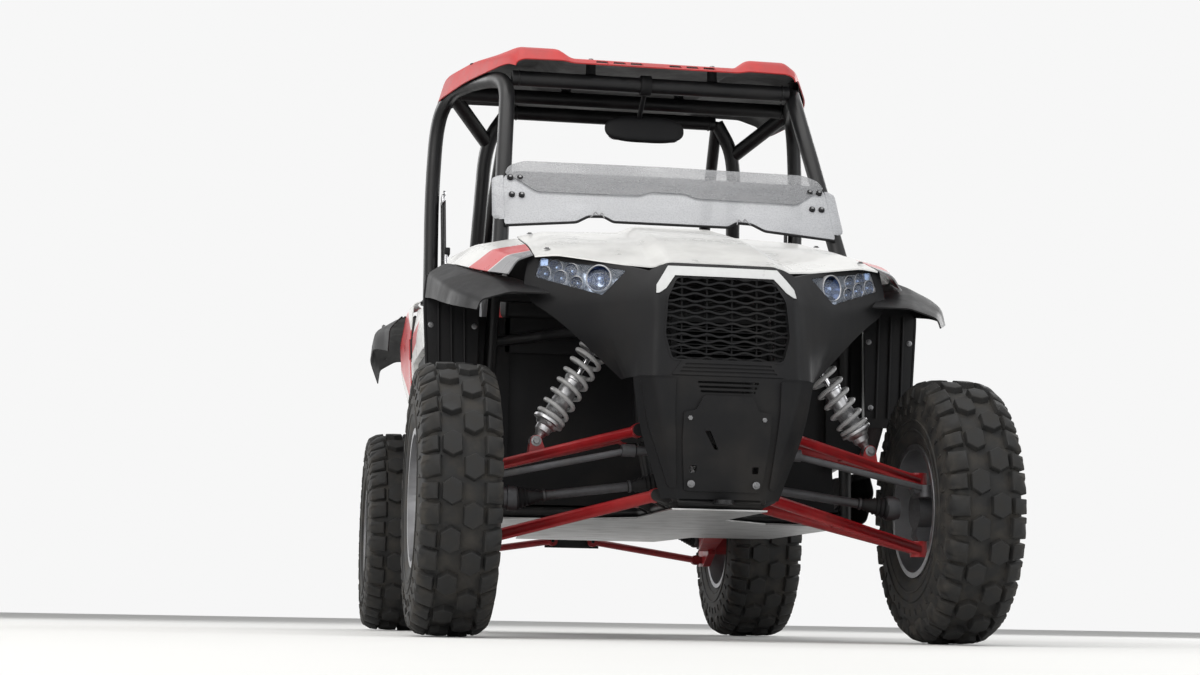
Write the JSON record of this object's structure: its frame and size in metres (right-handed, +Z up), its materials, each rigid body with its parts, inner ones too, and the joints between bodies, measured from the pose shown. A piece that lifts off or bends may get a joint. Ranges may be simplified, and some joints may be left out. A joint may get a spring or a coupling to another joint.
{
  "type": "side by side utv",
  "caption": "Two-seat side by side off-road vehicle with roll cage, roof, half windshield, half doors, cargo box, steered front wheels and long-travel suspension.",
  "frame": {"origin": "on the ground, on the centre plane, midway between the axles", "axes": "+Z up, the vehicle's front faces -Y, +X is the driver's side"},
  "size_m": [1.626, 3.023, 1.942],
  "materials": {
    "painted_frame": "satin black powder coat",
    "black_plastic": "moulded matte black",
    "white_panel": "gloss white moulded panel with fine scratches",
    "red_white_panel": "gloss white with red stripes",
    "roof_red": "faded red paint on aluminium",
    "arm_red": "red powder coat",
    "spring_grey": "silver grey coating",
    "damper_body": "cast and turned",
    "window_haze": "hazy polycarbonate",
    "seat_cover": "red, black and grey seat cover",
    "tyre_rubber": "dusty black rubber",
    "wheel_alloy": "satin cast alloy",
    "machined_steel": "machined and greased",
    "cast_part": "cast, dull",
    "bare_aluminium": "mill finish",
    "lamp_chrome": "bright reflector",
    "lamp_lens": "clear lens",
    "red_lens": "red lens",
    "muffler_steel": "heat tinted",
    "grip_rubber": "grained grip",
    "mirror_glass": "mirror in a black shell",
    "boot_rubber": "ribbed boots on steel shafts"
  },
  "bodies": {
    "chassis": {"frame": "painted_frame", "nose_frame": "painted_frame", "rear_frame": "painted_frame", "rear_crossbars": "painted_frame", "bed_frame": "painted_frame", "rear_uprights": "painted_frame", "tail_pipe": "muffler_steel", "skid_plate": "bare_aluminium", "roll_cage": "painted_frame", "roof": "roof_red", "windshield_lower": "window_haze", "windshield_upper": "window_haze", "hood": "white_panel", "side_covers": "red_white_panel", "nose_fascia": "black_plastic", "grille": "black_plastic", "bumper": "black_plastic", "headlights": "lamp_chrome", "headlight_lenses": "lamp_lens", "front_fenders": "black_plastic", "cowl_sides": "black_plastic", "rockers": "black_plastic", "dash": "black_plastic", "seat_cushions": "seat_cover", "seat_backs": "seat_cover", "cabin_tub": "black_plastic", "rear_fenders": "red_white_panel", "rear_flares": "black_plastic", "cargo_box": "black_plastic", "tail_lights": "red_lens", "engine": "cast_part", "muffler": "muffler_steel", "radiator": "bare_aluminium", "differential": "cast_part", "upper_arms": "arm_red", "lower_arms": "arm_red", "shock_absorbers": "damper_body", "coil_springs": "spring_grey", "trailing_arms": "arm_red", "radius_rods": "arm_red", "drive_shafts": "boot_rubber", "mirror": "mirror_glass"},
    "knuckle_left": {"knuckle_left": "machined_steel"},
    "knuckle_right": {"knuckle_right": "machined_steel"},
    "rack": {"tie_rods": "machined_steel"},
    "steering_wheel": {"steering_wheel": "grip_rubber"},
    "door_left": {"door_left": "red_white_panel"},
    "door_right": {"door_right": "red_white_panel"},
    "wheel_front_left": {"tyre_front_left": "tyre_rubber", "rim_front_left": "wheel_alloy"},
    "wheel_front_right": {"tyre_front_right": "tyre_rubber", "rim_front_right": "wheel_alloy"},
    "wheel_rear_left": {"tyre_rear_left": "tyre_rubber", "rim_rear_left": "wheel_alloy"},
    "wheel_rear_right": {"tyre_rear_right": "tyre_rubber", "rim_rear_right": "wheel_alloy"}
  },
  "joints": [
    {"name": "steer_left", "type": "hinge", "parent": "chassis", "child": "knuckle_left", "pos_m": [0.615, -1.143, 0.3685], "axis": [0, 0, 1], "range_deg": [-28, 28]},
    {"name": "steer_right", "type": "hinge", "parent": "chassis", "child": "knuckle_right", "pos_m": [-0.615, -1.143, 0.3685], "axis": [0, 0, 1], "range_deg": [-28, 28]},
    {"name": "rack_slide", "type": "slide", "parent": "chassis", "child": "rack", "axis": [1, 0, 0], "range_m": [-0.05, 0.05]},
    {"name": "steering_wheel_turn", "type": "hinge", "parent": "chassis", "child": "steering_wheel", "pos_m": [0.305, -0.322, 1.086], "axis": [0, 0.9, 0.436], "range_deg": [-226, 226]},
    {"name": "spin_front_left", "type": "hinge", "parent": "knuckle_left", "child": "wheel_front_left", "pos_m": [0.6985, -1.143, 0.3685], "axis": [1, 0, 0], "continuous": true},
    {"name": "spin_front_right", "type": "hinge", "parent": "knuckle_right", "child": "wheel_front_right", "pos_m": [-0.6985, -1.143, 0.3685], "axis": [1, 0, 0], "continuous": true},
    {"name": "spin_rear_left", "type": "hinge", "parent": "chassis", "child": "wheel_rear_left", "pos_m": [0.6735, 1.143, 0.3685], "axis": [1, 0, 0], "continuous": true},
    {"name": "spin_rear_right", "type": "hinge", "parent": "chassis", "child": "wheel_rear_right", "pos_m": [-0.6735, 1.143, 0.3685], "axis": [1, 0, 0], "continuous": true},
    {"name": "door_left_swing", "type": "hinge", "parent": "chassis", "child": "door_left", "pos_m": [0.69, 0.318, 0.8], "axis": [0, 0, 1], "range_deg": [0, 70]},
    {"name": "door_right_swing", "type": "hinge", "parent": "chassis", "child": "door_right", "pos_m": [-0.69, 0.318, 0.8], "axis": [0, 0, -1], "range_deg": [0, 70]}
  ],
  "couplings": [
    {"joint": "steer_right", "follows": "steer_left", "ratio": 1},
    {"joint": "rack_slide", "follows": "steer_left", "m_per_rad": 0.1},
    {"joint": "steering_wheel_turn", "follows": "steer_left", "ratio": 8}
  ]
}
